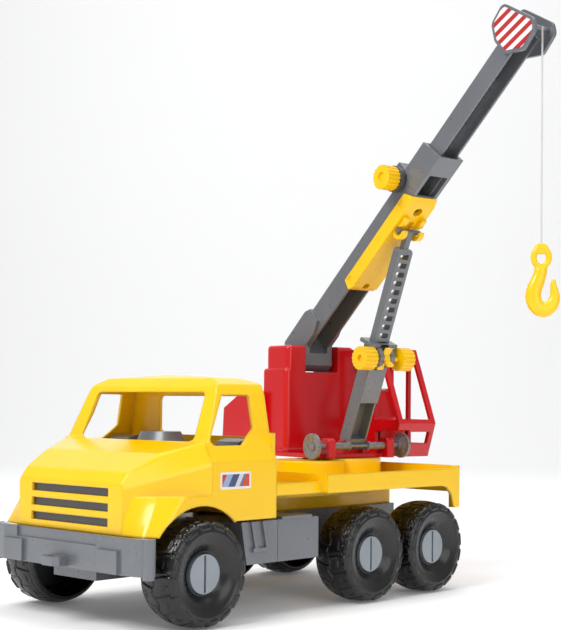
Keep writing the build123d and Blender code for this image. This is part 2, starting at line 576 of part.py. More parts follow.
# ---- lifting strut -------------------------------------------------------------------------
def strut_channel():
    """The lower half of the strut: a channel with a window, a top collar and the knob's forks."""
    half = 11.9
    side = [(-6.5, 0), (-4.6, -4.6), (0, -6.5), (CHANNEL_LENGTH, -6.5), (CHANNEL_LENGTH, 8.5), (4, 8.5),
            (-3, 5.5)]
    body = prism_xz(side, -half, half)
    body -= prism_xz([(8, -12), (CHANNEL_LENGTH + 1, -12), (CHANNEL_LENGTH + 1, 5.9), (8, 5.9)], -9.9, 9.9)
    body += block(50, CHANNEL_LENGTH, -half, half, -9.0, -6.0)
    body += block(CHANNEL_LENGTH, CHANNEL_LENGTH + 4, -17, 17, -10, 11)
    body -= block(CHANNEL_LENGTH - 1, CHANNEL_LENGTH + 5, -9.8, 9.8, -4.6, 5.6)
    body -= block(LIFT_KNOB_AT[0] - 14, LIFT_KNOB_AT[0] + 14, -5.2, 5.2, -12, -4)
    ear = [(92, -6), (CHANNEL_LENGTH, -6), (CHANNEL_LENGTH, -12), (106, -19.5), (97, -19.5), (92, -14)]
    body += both_sides(prism_xz(ear, 10.0, 15.4, 1.0))
    body -= rod_y(LIFT_KNOB_AT[0], -LIFT_KNOB_AT[1], 2.6 + RUN_GAP, -20, 20)
    body -= rod_y(0, 0, 2.0 + RUN_GAP, -20, 20)
    return body


def ladder_rack():
    """The upper half: a flat rack with a row of holes that the pinion drives, and its top link."""
    start, end = 62.0, 217.0
    rack = block(start, end, -9.4, 9.4, -4.2, 5.2)
    rack = fillet(rack.edges().filter_by(Axis.Z).group_by(Axis.X)[-1], 5.0)
    first = LADDER_FIRST - 5 * LADDER_PITCH
    for rung in range(LADDER_HOLES + 5):
        centre = first + rung * LADDER_PITCH
        hole = [(centre - 2.7, -5.6), (centre + 2.7, -5.6), (centre + 2.7, 5.6), (centre - 2.7, 5.6)]
        rack -= prism_xy(hole, -6, 7, 1.5)
    tip = STRUT_LENGTH
    link = prism_xz([(210, -3), (tip + 1, -3.4), (tip + 3, 0), (tip + 1, 3.4), (210, 4)],
                    -3.2, 3.2, 1.0)
    return rack + link + rod_y(STRUT_LENGTH, 0, STRUT_PIN_R, -15.0, 15.0)


def lift_knob():
    knob = fluted_y(12.2, 17.5, 33, 18, 0.9) - rod_y(0, 0, 3.5, 30, 34)
    return both_sides(knob)


def lift_pinion():
    hole_pitch = 2 * LADDER_PITCH
    pitch_radius = LIFT_TEETH * hole_pitch / (2 * pi)
    nearest_hole = LADDER_FIRST - 2 * LADDER_PITCH
    phase = degrees((nearest_hole - LIFT_KNOB_AT[0]) / pitch_radius)
    gear = toothed_wheel(5.6, 13.0, LIFT_TEETH, 4.0, 2.6, 0.0)
    return rod_y(0, 0, 2.6, -18, 18) + Rot(0, 180 + phase, 0) * gear


lift_spot = strut_place * Pos(LIFT_KNOB_AT[0], 0, -LIFT_KNOB_AT[1])
pieces["strut_channel"] = strut_place * strut_channel()
pieces["ladder_rack"] = strut_place * ladder_rack()
pieces["lift_knobs"] = lift_spot * (lift_knob() - rod_y(0, 0, 2.6, -18, 18))
pieces["lift_pinion"] = lift_spot * lift_pinion()


# ---- hoist cord and hook ---------------------------------------------------------------------
bar_place = boom_place * Pos(HEAD_BAR[0], 0, HEAD_BAR[1])
bar_centre = (bar_place * Vertex(0, 0, 0)).center()
CORD_OUT = 2.0 + CORD_R + 0.1
heading_x, heading_y = cos(radians(HEADING)), sin(radians(HEADING))
cord_x = bar_centre.X + CORD_OUT * heading_x
cord_y = bar_centre.Y + CORD_OUT * heading_y
CORD_TOP_Z = bar_centre.Z


def hoist_cord():
    return rod_z(cord_x, cord_y, CORD_R, CORD_END_Z, CORD_TOP_Z)


HOOK_FACING = 132.7        # direction of the hook's tip, from the truck's front towards its left
HOOK_HALF = 5.0


def hook():
    """An oval ring above a thick curved hook, drawn in its own XZ plane under the ring's top."""
    eye = Plane.XZ * Pos(0, -13.8) * (Ellipse(9.6, 10.6) - Ellipse(4.2, 5.5))
    ring = extrude(eye, amount=3.4, both=True)
    ring = fillet(ring.edges().filter_by(GeomType.ELLIPSE), 1.6)
    boss = Pos(0, 0, -3.5) * Cylinder(4.2, 7.0) - rod_z(0, 0, CORD_R, -8, 1)
    edge_points = [
        (-6.4, -23), (-7.6, -29), (-9.7, -35), (-12.4, -40.5), (-14, -46), (-13.6, -52.5), (-10.2, -60),
        (-4, -66), (3, -67.6), (10, -65.5), (15, -60), (17.1, -52.5), (16.4, -45), (14.4, -38), (13.6, -34),
        (11.5, -31.8), (9.4, -34), (8.9, -38), (8.2, -43), (7.4, -48), (5.8, -52.5), (3, -54), (0.4, -51.5),
        (-0.2, -46), (1.4, -40), (3.8, -34), (5.6, -29), (6.2, -23), (0, -21.5),
    ]
    plan = make_face(Plane.XZ * Spline(*edge_points, periodic=True))
    body = extrude(plan, amount=HOOK_HALF, both=True)
    return ring + boss + body


pieces["hoist_cord"] = hoist_cord()
pieces["crane_hook"] = Pos(cord_x, cord_y, HOOK_RING_Z) * Rot(0, 0, HOOK_FACING) * hook()


# ---- origin and files ------------------------------------------------------------------------
solid_box = Compound([shape for name, shape in pieces.items() if name not in ("hoist_cord", "crane_hook")])
box = solid_box.bounding_box()
shift = Pos(-(box.min.X + box.max.X) / 2, -(box.min.Y + box.max.Y) / 2, -box.min.Z)
for name, shape in pieces.items():
    export_step(shift * shape, f"parts/{name}.step")

print("pieces", len(pieces))
print("shift", [round(value, 4) for value in shift.position])
print("cord", round(cord_x, 3), round(cord_y, 3), round(CORD_END_Z, 3), round(CORD_TOP_Z, 3))
print("strut", round(STRUT_LENGTH, 2), round(STRUT_ANGLE, 2))
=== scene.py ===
import json
from math import cos, hypot, pi, radians, sin, tau
import bmesh
import bpy
from mathutils import Matrix, Vector


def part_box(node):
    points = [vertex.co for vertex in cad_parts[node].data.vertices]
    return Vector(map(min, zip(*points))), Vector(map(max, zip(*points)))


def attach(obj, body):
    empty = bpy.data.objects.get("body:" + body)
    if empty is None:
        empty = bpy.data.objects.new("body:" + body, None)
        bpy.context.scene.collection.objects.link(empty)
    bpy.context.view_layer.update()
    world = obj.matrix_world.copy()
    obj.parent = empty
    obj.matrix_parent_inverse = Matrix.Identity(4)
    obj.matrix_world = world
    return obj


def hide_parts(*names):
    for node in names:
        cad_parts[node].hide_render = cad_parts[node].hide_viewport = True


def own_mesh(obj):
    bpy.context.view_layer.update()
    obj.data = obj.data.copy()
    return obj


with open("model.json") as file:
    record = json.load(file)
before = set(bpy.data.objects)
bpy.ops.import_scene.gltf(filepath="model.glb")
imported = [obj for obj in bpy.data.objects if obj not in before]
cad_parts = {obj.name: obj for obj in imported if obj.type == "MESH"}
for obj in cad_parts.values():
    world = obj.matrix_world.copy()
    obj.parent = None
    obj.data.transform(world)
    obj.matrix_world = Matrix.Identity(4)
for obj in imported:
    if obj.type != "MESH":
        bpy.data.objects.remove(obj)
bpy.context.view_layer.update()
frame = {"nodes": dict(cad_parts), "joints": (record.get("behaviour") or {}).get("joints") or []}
NODES = frame["nodes"]
MM = 0.001
AXLES = ("front", "mid", "rear")
SIDES = ("left", "right")


# ---- small helpers ------------------------------------------------------------------------
def centre(node):
    low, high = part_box(node)
    return (Vector(low) + Vector(high)) / 2


def smooth_step(low, high, value):
    """0 up to low, 1 from high on, and a smooth rise between."""
    share = min(1.0, max(0.0, (value - low) / (high - low)))
    return share * share * (3 - 2 * share)


def joint(name):
    return next(entry for entry in frame["joints"] if entry["name"] == name)


def quads(rows, around, closed=False):
    """Faces between rows of points, each row a loop. closed also joins the last row to the first."""
    faces = []
    for row in range(rows if closed else rows - 1):
        following = (row + 1) % rows
        for step in range(around):
            after = (step + 1) % around
            faces.append((row * around + step, row * around + after,
                          following * around + after, following * around + step))
    return faces


def new_mesh(name, verts, faces, material):
    mesh = bpy.data.meshes.new(name)
    mesh.from_pydata([tuple(v) for v in verts], [], faces)
    mesh.update()
    work = bmesh.new()
    work.from_mesh(mesh)
    bmesh.ops.remove_doubles(work, verts=work.verts, dist=1e-7)
    bmesh.ops.recalc_face_normals(work, faces=work.faces)
    work.to_mesh(mesh)
    work.free()
    for face in mesh.polygons:
        face.use_smooth = True
    mesh.materials.append(material)
    return mesh


def put(name, mesh, body, place=Matrix.Identity(4)):
    """One piece with this mesh, at its place in the frame and carried by its body."""
    piece = bpy.data.objects.new(name, mesh)
    bpy.context.scene.collection.objects.link(piece)
    piece.matrix_world = place
    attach(piece, body)
    return piece


# ---- shader nodes -------------------------------------------------------------------------
def linear(red, green, blue):
    """An sRGB colour, 0 to 255, as the linear values that a shader takes."""
    values = [channel / 255 for channel in (red, green, blue)]
    return [v / 12.92 if v <= 0.04045 else ((v + 0.055) / 1.055) ** 2.4 for v in values] + [1.0]


def shade(colour, factor, lift=0.0):
    """A linear colour made darker or paler."""
    return [min(1.0, channel * factor + lift) for channel in colour[:3]] + [1.0]


def feed(tree, socket, value):
    """Links another node's output to a socket, or sets the socket to a constant."""
    if hasattr(value, "links"):
        tree.links.new(value, socket)
    else:
        socket.default_value = value


def add(tree, kind, inputs, **settings):
    """A shader node whose sockets, by name or number, take the constants and outputs in inputs."""
    node = tree.nodes.new("ShaderNode" + kind)
    for key, value in settings.items():
        setattr(node, key, value)
    for socket, value in inputs.items():
        feed(tree, node.inputs[socket], value)
    return node


def noise_value(tree, where, scale, detail, rough=0.5):
    """A cloudy value, 0 to 1, at the coordinates in where."""
    node = add(tree, "TexNoise", {"Vector": where, "Scale": scale, "Detail": detail, "Roughness": rough})
    return node.outputs["Fac"]


def ramp(tree, value, low, high, out_low=0.0, out_high=1.0):
    """A value that goes from out_low to out_high while the one given goes from low to high."""
    node = add(tree, "MapRange", {"Value": value, "From Min": low, "From Max": high,
                                  "To Min": out_low, "To Max": out_high})
    return node.outputs["Result"]


def calculate(tree, operation, *values):
    return add(tree, "Math", dict(enumerate(values)), operation=operation).outputs["Value"]


def dot_product(tree, first, second):
    return add(tree, "VectorMath", {0: first, 1: second}, operation="DOT_PRODUCT").outputs["Value"]


def mix_colour(tree, share, first, second):
    """Goes from the first colour to the second with share. Each colour is a constant or an output."""
    node = add(tree, "Mix", {"Factor": share}, data_type="RGBA")
    colours = {socket.name: socket for socket in node.inputs if socket.type == "RGBA"}
    feed(tree, colours["A"], first)
    feed(tree, colours["B"], second)
    return next(socket for socket in node.outputs if socket.type == "RGBA")


def bump(tree, height, strength, distance, normal=None):
    """A normal that shows height as relief, on top of another normal where one is given."""
    inputs = {"Strength": strength, "Distance": distance, "Height": height}
    if normal:
        inputs["Normal"] = normal
    return add(tree, "Bump", inputs).outputs["Normal"]


# cosine between the rounded and the flat normal, on a flat face and well round an edge
FLAT_COSINE = 0.995
EDGE_COSINE = 0.90


def rounded_edges(tree, radius):
    """The normal of softly rounded edges, and a mask that is 1 along them and 0 on flat faces."""
    rounded = add(tree, "Bevel", {"Radius": radius}, samples=6).outputs["Normal"]
    flat = add(tree, "NewGeometry", {}).outputs["Normal"]
    return rounded, ramp(tree, dot_product(tree, rounded, flat), FLAT_COSINE, EDGE_COSINE)


def start_material(name):
    """A new material, with its node tree, its shader and its coordinates node."""
    material = bpy.data.materials.new(name)
    material.use_nodes = True
    tree = material.node_tree
    return material, tree, tree.nodes["Principled BSDF"], add(tree, "TexCoord", {})


# ---- materials ----------------------------------------------------------------------------
CLOUD_SCALE = 14.0
SCUFF_SCALE = 55.0
SCRATCH_SCALE = 300.0
PEEL_SCALE = 900.0
FLAKE_SCALE = 2600.0
PEEL_DEPTH = 0.12 * MM
WAVE_DEPTH = 1.2 * MM
SCRATCH_DEPTH = 0.1 * MM
FIBRE_DEPTH = 0.08 * MM


def moulded(name, colour, rough, spread, bevel_mm, grain=0.15, flake=0.0, coat=0.15, edge_highlight_paint=0.25,
            metal=0.0):
    """Injection-moulded plastic: cloudy colour, uneven gloss, fine orange peel and a painted highlight
    along the edges.
    """
    material, tree, shader, coords = start_material(name)
    where = coords.outputs["Object"]
    cloud = noise_value(tree, where, CLOUD_SCALE, 3.0)
    peel = noise_value(tree, where, PEEL_SCALE, 2.0)
    scuff = noise_value(tree, where, SCUFF_SCALE, 8.0, 0.7)
    dark, light = shade(colour, 1 - spread), shade(colour, 1 + spread * 0.6)
    base = mix_colour(tree, ramp(tree, cloud, 0.3, 0.7), dark, light)
    if flake:
        speck = noise_value(tree, where, FLAKE_SCALE, 1.0)
        base = mix_colour(tree, ramp(tree, speck, 0.45, 0.75, 0.0, flake), base, shade(colour, 1.9, 0.03))
    rounded, edges = rounded_edges(tree, bevel_mm * MM)
    # painted highlight: the colour is made paler along rounded edges, in patches from the scuff noise,
    # standing in for light caught on the edges
    painted_edge_highlight = calculate(tree, "MULTIPLY", edges, ramp(tree, scuff, 0.35, 0.65, 0.0, edge_highlight_paint))
    base = mix_colour(tree, painted_edge_highlight, base, shade(colour, 1.25, 0.06))
    orange_peel = bump(tree, peel, grain, PEEL_DEPTH, rounded)
    feed(tree, shader.inputs["Base Color"], base)
    feed(tree, shader.inputs["Roughness"], ramp(tree, scuff, 0.3, 0.75, rough * 0.85, rough * 1.35))
    feed(tree, shader.inputs["Normal"], bump(tree, cloud, 0.03, WAVE_DEPTH, orange_peel))
    feed(tree, shader.inputs["Coat Weight"], coat)
    feed(tree, shader.inputs["Coat Roughness"], 0.12)
    feed(tree, shader.inputs["Metallic"], metal)
    return material


def plated(name, colour, rough, stretch, metal=1.0):
    """Plated or drawn metal with fine scratches. stretch scales them along the object's axes."""
    material, tree, shader, coords = start_material(name)
    where = add(tree, "Mapping", {"Vector": coords.outputs["Object"], "Scale": stretch}).outputs["Vector"]
    scratch = noise_value(tree, where, SCRATCH_SCALE, 6.0)
    rounded, _ = rounded_edges(tree, 0.4 * MM)
    base = mix_colour(tree, ramp(tree, scratch, 0.3, 0.7), shade(colour, 0.72), colour)
    feed(tree, shader.inputs["Base Color"], base)
    feed(tree, shader.inputs["Roughness"], ramp(tree, scratch, 0.3, 0.7, rough * 0.7, rough * 1.4))
    feed(tree, shader.inputs["Normal"], bump(tree, scratch, 0.15, SCRATCH_DEPTH, rounded))
    feed(tree, shader.inputs["Metallic"], metal)
    return material


def paper_finish(tree, shader, where, fibre_scale, gloss_low, gloss_high):
    """Gives a sticker the gloss and relief of paper. Returns the fibres' share, for its colours."""
    fibre = noise_value(tree, where, fibre_scale, 3.0)
    feed(tree, shader.inputs["Roughness"], ramp(tree, fibre, 0.3, 0.7, gloss_low, gloss_high))
    feed(tree, shader.inputs["Normal"], bump(tree, fibre, 0.1, FIBRE_DEPTH))
    return ramp(tree, fibre, 0.3, 0.7)


def stripes(name, across, pitch, share):
    """Slanting red stripes on white. across is the direction in which they repeat."""
    material, tree, shader, coords = start_material(name)
    where = coords.outputs["Object"]
    turns = calculate(tree, "MULTIPLY", dot_product(tree, where, across), 1.0 / pitch)
    past_stripe = ramp(tree, calculate(tree, "FRACT", turns), share - 0.02, share + 0.02)
    paper = paper_finish(tree, shader, where, 1200.0, 0.3, 0.42)
    white = mix_colour(tree, paper, linear(226, 222, 220), linear(243, 240, 238))
    ink = mix_colour(tree, paper, linear(168, 30, 34), linear(190, 42, 44))
    feed(tree, shader.inputs["Base Color"], mix_colour(tree, past_stripe, ink, white))
    return material


BADGE_BANDS = (
    (0.0, linear(206, 74, 40)), (0.34, linear(96, 112, 150)), (0.42, linear(205, 208, 216)),
    (0.56, linear(70, 78, 112)), (0.78, linear(150, 170, 205)), (0.98, linear(196, 60, 44)),
)
BADGE_SLANT = 0.22
BADGE_RIM = {"X": 0.055, "Z": 0.14}


def near_ends(tree, value, inset):
    """1 within inset of either end of a value that runs from 0 to 1, else 0."""
    from_middle = calculate(tree, "ABSOLUTE", calculate(tree, "SUBTRACT", value, 0.5))
    return calculate(tree, "GREATER_THAN", from_middle, 0.5 - inset)


def badge(name):
    """A small plain badge: a white rim round slanting bands of colour."""
    material, tree, shader, coords = start_material(name)
    parts = add(tree, "SeparateXYZ", {"Vector": coords.outputs["Generated"]}).outputs
    along = calculate(tree, "MULTIPLY_ADD", parts["Z"], BADGE_SLANT, parts["X"])
    bands = add(tree, "ValToRGB", {"Fac": along})
    bands.color_ramp.interpolation = "CONSTANT"
    marks = bands.color_ramp.elements
    marks.remove(marks[1])
    marks[0].color = BADGE_BANDS[0][1]
    for position, colour in BADGE_BANDS[1:]:
        marks.new(position).color = colour
    on_rim = [near_ends(tree, parts[axis], inset) for axis, inset in BADGE_RIM.items()]
    rim = calculate(tree, "MAXIMUM", *on_rim)
    paper = paper_finish(tree, shader, coords.outputs["Object"], 1500.0, 0.25, 0.4)
    white = mix_colour(tree, paper, linear(228, 222, 214), linear(240, 236, 230))
    feed(tree, shader.inputs["Base Color"], mix_colour(tree, rim, bands.outputs["Color"], white))
    return material


YELLOW = linear(255, 203, 0)
RED = linear(202, 8, 18)
GRAY = linear(112, 115, 120)
DARK_GRAY = linear(78, 80, 84)
PALE_GRAY = linear(140, 148, 155)
BLACK = linear(14, 14, 15)
CORD_WHITE = linear(206, 206, 203)
SILVER = linear(142, 145, 154)
STEEL = linear(170, 172, 175)

yellow = moulded("yellow_plastic", YELLOW, 0.2, 0.03, 3.4, coat=0.2)
yellow_small = moulded("yellow_small_plastic", YELLOW, 0.28, 0.05, 0.6)
red = moulded("red_plastic", RED, 0.2, 0.04, 2.4, coat=0.2)
gray = moulded("gray_plastic", GRAY, 0.29, 0.08, 0.8, flake=0.35, metal=0.25)
gray_fine = moulded("gray_fine_plastic", GRAY, 0.29, 0.08, 0.5, flake=0.35, metal=0.25)
dark_gray = moulded("dark_gray_plastic", DARK_GRAY, 0.4, 0.08, 0.6, flake=0.25, metal=0.2)
pale_gray = moulded("cap_plastic", PALE_GRAY, 0.38, 0.06, 0.5, flake=0.3, metal=0.2)
tyre_black = moulded("tyre_plastic", BLACK, 0.27, 0.25, 0.4, grain=0.3, coat=0.1, edge_highlight_paint=0.10)
cord_fibre = moulded("cord_fibre", CORD_WHITE, 0.7, 0.1, 0.1, grain=0.5, coat=0.0, edge_highlight_paint=0.0)
silver = plated("silver_plating", SILVER, 0.3, (1, 1, 1), metal=0.3)
steel = plated("steel_rod", STEEL, 0.28, (0.05, 0.05, 0.05))


# ---- camera -------------------------------------------------------------------------------
EYE = Vector((0.9226, 0.8526, 0.1915))
AIM = Vector((-0.0769, -0.0683, 0.2288))
ROLL = 0.01
LENS_MM = 74.39
SENSOR_MM = 36.0
LENS_SHIFT = (-0.0411, 0.0828)
forward = (AIM - EYE).normalized()
level = forward.cross(Vector((0, 0, 1))).normalized()


def build_camera():
    above = level.cross(forward)
    side_rolled = level * cos(ROLL) + above * sin(ROLL)
    above_rolled = above * cos(ROLL) - level * sin(ROLL)
    data = bpy.data.cameras.new("camera")
    data.lens = LENS_MM
    data.sensor_width = SENSOR_MM
    data.shift_x, data.shift_y = LENS_SHIFT
    data.clip_start = 0.01
    camera = bpy.data.objects.new("camera", data)
    bpy.context.scene.collection.objects.link(camera)
    turn = Matrix((side_rolled, above_rolled, -forward)).transposed()
    camera.matrix_world = Matrix.Translation(EYE) @ turn.to_4x4()
    bpy.context.scene.camera = camera


# ---- stage and light ----------------------------------------------------------------------
# distances ahead of the object's middle, in m
SWEEP_FLOOR = (-4.0, 0.0, 1.4)
SWEEP_BEND_START = 2.6
SWEEP_BEND = 1.0
SWEEP_TOP = 4.5
SWEEP_HALF = 6.0
BEND_STEPS = 16
FLOOR_GAP = 0.2 * MM
OBJECT_MIDDLE = (0, 0, 0.2)
# name, place, what it points at, size in m and power in W
LIGHTS = (
    ("key", (1.3, -0.1, 1.6), OBJECT_MIDDLE, 0.9, 25),
    ("fill", (0.3, 1.7, 0.8), OBJECT_MIDDLE, 1.2, 8),
    ("top", (-0.5, 0.1, 1.9), OBJECT_MIDDLE, 1.4, 12),
    ("backdrop", (-0.9, -0.8, 2.6), (-2.4, -2.2, 0.9), 2.0, 34),
)


def stage_floor():
    """A pale paper sweep: floor in front, curving up into a wall far behind the object."""
    ahead = Vector((forward.x, forward.y, 0)).normalized()
    across = Vector((level.x, level.y, 0)).normalized()
    profile = [(run, 0.0) for run in SWEEP_FLOOR]
    for step in range(BEND_STEPS + 1):
        angle = pi / 2 * step / BEND_STEPS
        profile.append((SWEEP_BEND_START + SWEEP_BEND * sin(angle), SWEEP_BEND * (1 - cos(angle))))
    profile.append((SWEEP_BEND_START + SWEEP_BEND, SWEEP_TOP))
    verts = []
    for run, rise in profile:
        for edge in (-SWEEP_HALF, SWEEP_HALF):
            spot = ahead * run + across * edge
            verts.append((spot.x, spot.y, rise - FLOOR_GAP))
    faces = [(2 * row, 2 * row + 1, 2 * row + 3, 2 * row + 2) for row in range(len(profile) - 1)]
    mesh = bpy.data.meshes.new("paper_sweep")
    mesh.from_pydata(verts, [], faces)
    for face in mesh.polygons:
        face.use_smooth = True
    floor = bpy.data.objects.new("paper_sweep", mesh)
    bpy.context.scene.collection.objects.link(floor)
    material = bpy.data.materials.new("pale_paper")
    material.use_nodes = True
    shader = material.node_tree.nodes["Principled BSDF"]
    shader.inputs["Base Color"].default_value = (0.9, 0.9, 0.9, 1)
    shader.inputs["Roughness"].default_value = 0.9
    shader.inputs["Emission Color"].default_value = (1, 1, 1, 1)
    shader.inputs["Emission Strength"].default_value = 0.08
    mesh.materials.append(material)


def build_light():
    world = bpy.data.worlds.new("studio")
    world.use_nodes = True
    background = world.node_tree.nodes["Background"]
    background.inputs["Color"].default_value = (0.97, 0.98, 1.0, 1)
    background.inputs["Strength"].default_value = 0.42
    bpy.context.scene.world = world
    for name, place, aim, size, power in LIGHTS:
        data = bpy.data.lights.new(name, "AREA")
        data.energy = power
        data.size = size
        lamp = bpy.data.objects.new(name, data)
        lamp.location = place
        lamp.rotation_euler = (Vector(aim) - Vector(place)).to_track_quat("-Z", "Y").to_euler()
        bpy.context.scene.collection.objects.link(lamp)
    bpy.context.scene.view_settings.view_transform = "Standard"


# ---- wheels: sizes in mm, about the Y axis, outer face towards +Y -------------------------
WHEEL_SEGMENTS = 384
TYRE_RADIUS = 46.0
TYRE_HALF = 21.0
TREAD_PITCHES = 16
TREAD_HALF = 15.6
TREAD_ROWS = 46
CROWN_DROP = 2.4
CROWN_POWER = 2.4
GROOVE_DEPTH = 1.6
GROOVE_SLANT = 0.012
SHALLOW_SHARE = 0.6
MIDDLE_WEAVE = 1.8
SIDE_CUT_AT = 11.5
# where each cut's wall starts and ends: in mm, or in shares of a tread block
GROOVE_WALL = (0.022, 0.05)
MIDDLE_WALL = (0.5, 1.2)
SIDE_CUT_WALL = (0.5, 1.0)
SIDE_CUT_END = (0.18, 0.22)
NICK_WALL = (0.02, 0.04)
NICK_START = (11.5, 12.2)
SHOULDER_ROWS = 24
SHOULDER_DROP = 7.2
SHOULDER_REACH = 5.1
TAB_HEIGHT = 1.1
TAB_PHASE = 0.19
TAB_HALF = 0.26
TAB_WALL = 0.12
TAB_LENGTH = 0.62
TAB_END = 0.2
INNER_ROWS = 8
INNER_RADIUS = 39.3
INNER_RISE = 3.9
INNER_REACH = 5.3
# radius and place along Y, from the outer shoulder in to the hub and then along the open back
OUTER_FACE = [
    (36.4, 20.9), (35.6, 20.9), (34.6, 20.2), (33.6, 19.6), (31.5, 19.2), (28.8, 18.4), (26.0, 16.9),
    (23.6, 15.0), (21.6, 13.2), (20.0, 11.9), (19.0, 11.4), (18.2, 11.2), (17.7, 11.6), (17.3, 11.6),
    (17.2, 10.9), (17.2, 7.6), (16.0, 7.5), (3.2, 7.5),
]
OPEN_BACK = [
    (3.2, 5.0), (3.2, -14.5), (3.6, -15.0), (7.6, -15.0), (8.0, -14.6), (8.2, 4.0), (9.5, 5.0), (30.0, 5.0),
    (33.5, 5.8), (36.5, 7.0), (37.8, 6.2),
]
ROW_GAP = 0.01
BACK_RIM = [(38.0, -TYRE_HALF + 24.0), (38.0, -TYRE_HALF + 0.6), (38.6, -TYRE_HALF)]


def tread_cut(angle, across):
    """How deep the tread is cut, in mm, at a place on the tyre. Phases are shares of one tread block."""
    turn_share = angle / tau * TREAD_PITCHES
    stagger = 0.0 if across > 0 else 0.5
    phase = (turn_share + stagger + GROOVE_SLANT * abs(across)) % 1.0
    groove = 1 - smooth_step(*GROOVE_WALL, min(phase, 1 - phase))
    weave = MIDDLE_WEAVE * sin(tau * turn_share)
    middle = 1 - smooth_step(*MIDDLE_WALL, abs(across - weave))
    from_block = abs(phase - 0.5)
    side_cut = 1 - smooth_step(*SIDE_CUT_WALL, abs(abs(across) - SIDE_CUT_AT))
    side_cut *= 1 - smooth_step(*SIDE_CUT_END, from_block)
    nick = 1 - smooth_step(*NICK_WALL, from_block)
    nick *= smooth_step(*NICK_START, abs(across))
    return GROOVE_DEPTH * max(groove, middle, SHALLOW_SHARE * side_cut, SHALLOW_SHARE * nick)


def shoulder_tab(angle, depth_share):
    """The raised round-ended tabs that run from each tread block down the outer shoulder, in mm."""
    phase = (angle / tau * TREAD_PITCHES + TAB_PHASE) % 1.0
    beside = max(0.0, abs(phase - 0.5) - TAB_HALF) / TAB_WALL
    below = max(0.0, depth_share - TAB_LENGTH) / TAB_END
    return TAB_HEIGHT * (1 - smooth_step(0.75, 1.0, hypot(beside, below)))


def tread_point(angle, across):
    crown = TYRE_RADIUS - CROWN_DROP * (abs(across) / TREAD_HALF) ** CROWN_POWER
    return crown - tread_cut(angle, across), across


def shoulder_point(angle, share):
    """A place on the outer shoulder, at share of the way from the tread's edge to the face."""
    lean = share * pi / 2
    radius = TYRE_RADIUS - CROWN_DROP - SHOULDER_DROP * (1 - cos(lean))
    across = TREAD_HALF + SHOULDER_REACH * sin(lean)
    cut = tread_cut(angle, TREAD_HALF) * (1 - smooth_step(0.0, 0.35, share))
    rise = shoulder_tab(angle, share) * smooth_step(-0.2, 0.12, share) - cut
    return radius + rise * cos(lean), across + rise * sin(lean)


def wheel_mesh():
    """One wheel as rings of points: back rim, inner shoulder, tread, outer shoulder, face, open back."""
    inner_shoulder = []
    for step in range(INNER_ROWS + 1):
        lean = step / INNER_ROWS * pi / 2
        across = -TYRE_HALF + INNER_REACH * (1 - cos(lean)) + ROW_GAP
        inner_shoulder.append((INNER_RADIUS + INNER_RISE * sin(lean), across))
    angles = [tau * segment / WHEEL_SEGMENTS for segment in range(WHEEL_SEGMENTS)]
    rings = [[spot] * WHEEL_SEGMENTS for spot in BACK_RIM + inner_shoulder]
    for step in range(TREAD_ROWS + 1):
        across = -TREAD_HALF + 2 * TREAD_HALF * step / TREAD_ROWS
        rings.append([tread_point(angle, across) for angle in angles])
    for step in range(1, SHOULDER_ROWS + 1):
        rings.append([shoulder_point(angle, step / SHOULDER_ROWS) for angle in angles])
    rings += [[spot] * WHEEL_SEGMENTS for spot in OUTER_FACE + OPEN_BACK]
    verts = []
    for ring in rings:
        for angle, (radius, across) in zip(angles, ring):
            verts.append((radius * sin(angle) * MM, across * MM, radius * cos(angle) * MM))
    return verts, quads(len(rings), WHEEL_SEGMENTS, closed=True)


def build_wheels():
    verts, faces = wheel_mesh()
    mesh = new_mesh("wheel_moulding", verts, faces, tyre_black)
    for axle in AXLES:
        for side, heading in zip(SIDES, (0.0, pi)):
            node = f"wheel_{axle}_{side}"
            place = Matrix.Translation(centre(node)) @ Matrix.Rotation(heading, 4, "Z")
            piece = put(f"tyre_{axle}_{side}", mesh, f"axle_set_{axle}", place)
            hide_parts(node)


# ---- hook: sizes in mm, below the cord's end, before it is turned -------------------------
# X, Z and radius at stations along the shank and round the bowl to the tip
HOOK_ROUTE = [
    (-0.4, -23.0, 5.6), (-0.5, -25.5, 6.0), (-1.4, -29.5, 6.1), (-3.0, -34.5, 6.5), (-5.2, -39.8, 6.9),
    (-6.8, -45.0, 7.1), (-7.0, -50.5, 7.2), (-5.0, -56.2, 7.2), (-0.8, -60.2, 7.1), (4.3, -60.6, 6.9),
    (8.8, -57.6, 6.3), (11.6, -52.8, 5.4), (12.4, -47.8, 4.6), (11.8, -42.8, 3.7), (11.1, -38.2, 2.9),
    (11.3, -34.6, 2.2), (11.6, -33.0, 1.3),
]
HOOK_FLATNESS = 0.8
HOOK_TURN = radians(132.7)
# half width, half height, tube radius and Z of the middle
HOOK_RING = (6.9, 8.6, 2.9, -13.4)
HOOK_TOP_LOOP = (4.4, 3.0, 2.4, -5.6)
HOOK_VOXEL = 0.7 * MM


def tube_about(points, radii, around, flat):
    """A closed tube along points that lie in the XZ plane, thinner across the plane by flat."""
    verts = []
    for index, point in enumerate(points):
        before = points[max(0, index - 1)]
        after = points[min(len(points) - 1, index + 1)]
        along = Vector((after[0] - before[0], 0, after[1] - before[1])).normalized()
        out = Vector((along.z, 0, -along.x))
        for step in range(around):
            angle = tau * step / around
            place = Vector((point[0], 0, point[1])) + out * radii[index] * cos(angle)
            place.y += radii[index] * flat * sin(angle)
            verts.append(place)
    faces = quads(len(points), around)
    faces.append(tuple(reversed(range(around))))
    faces.append(tuple(range((len(points) - 1) * around, len(points) * around)))
    return verts, faces


def ring_about(half_width, half_height, tube, middle_z, steps=48, around=16):
    """An upright oval ring in the XZ plane."""
    verts = []
    for step in range(steps):
        angle = tau * step / steps
        out = Vector((cos(angle), 0, sin(angle)))
        middle = Vector((half_width * cos(angle), 0, middle_z + half_height * sin(angle)))
        for turn_step in range(around):
            roll = tau * turn_step / around
            verts.append(middle + out * tube * cos(roll) + Vector((0, tube * sin(roll), 0)))
    return verts, quads(steps, around, closed=True)


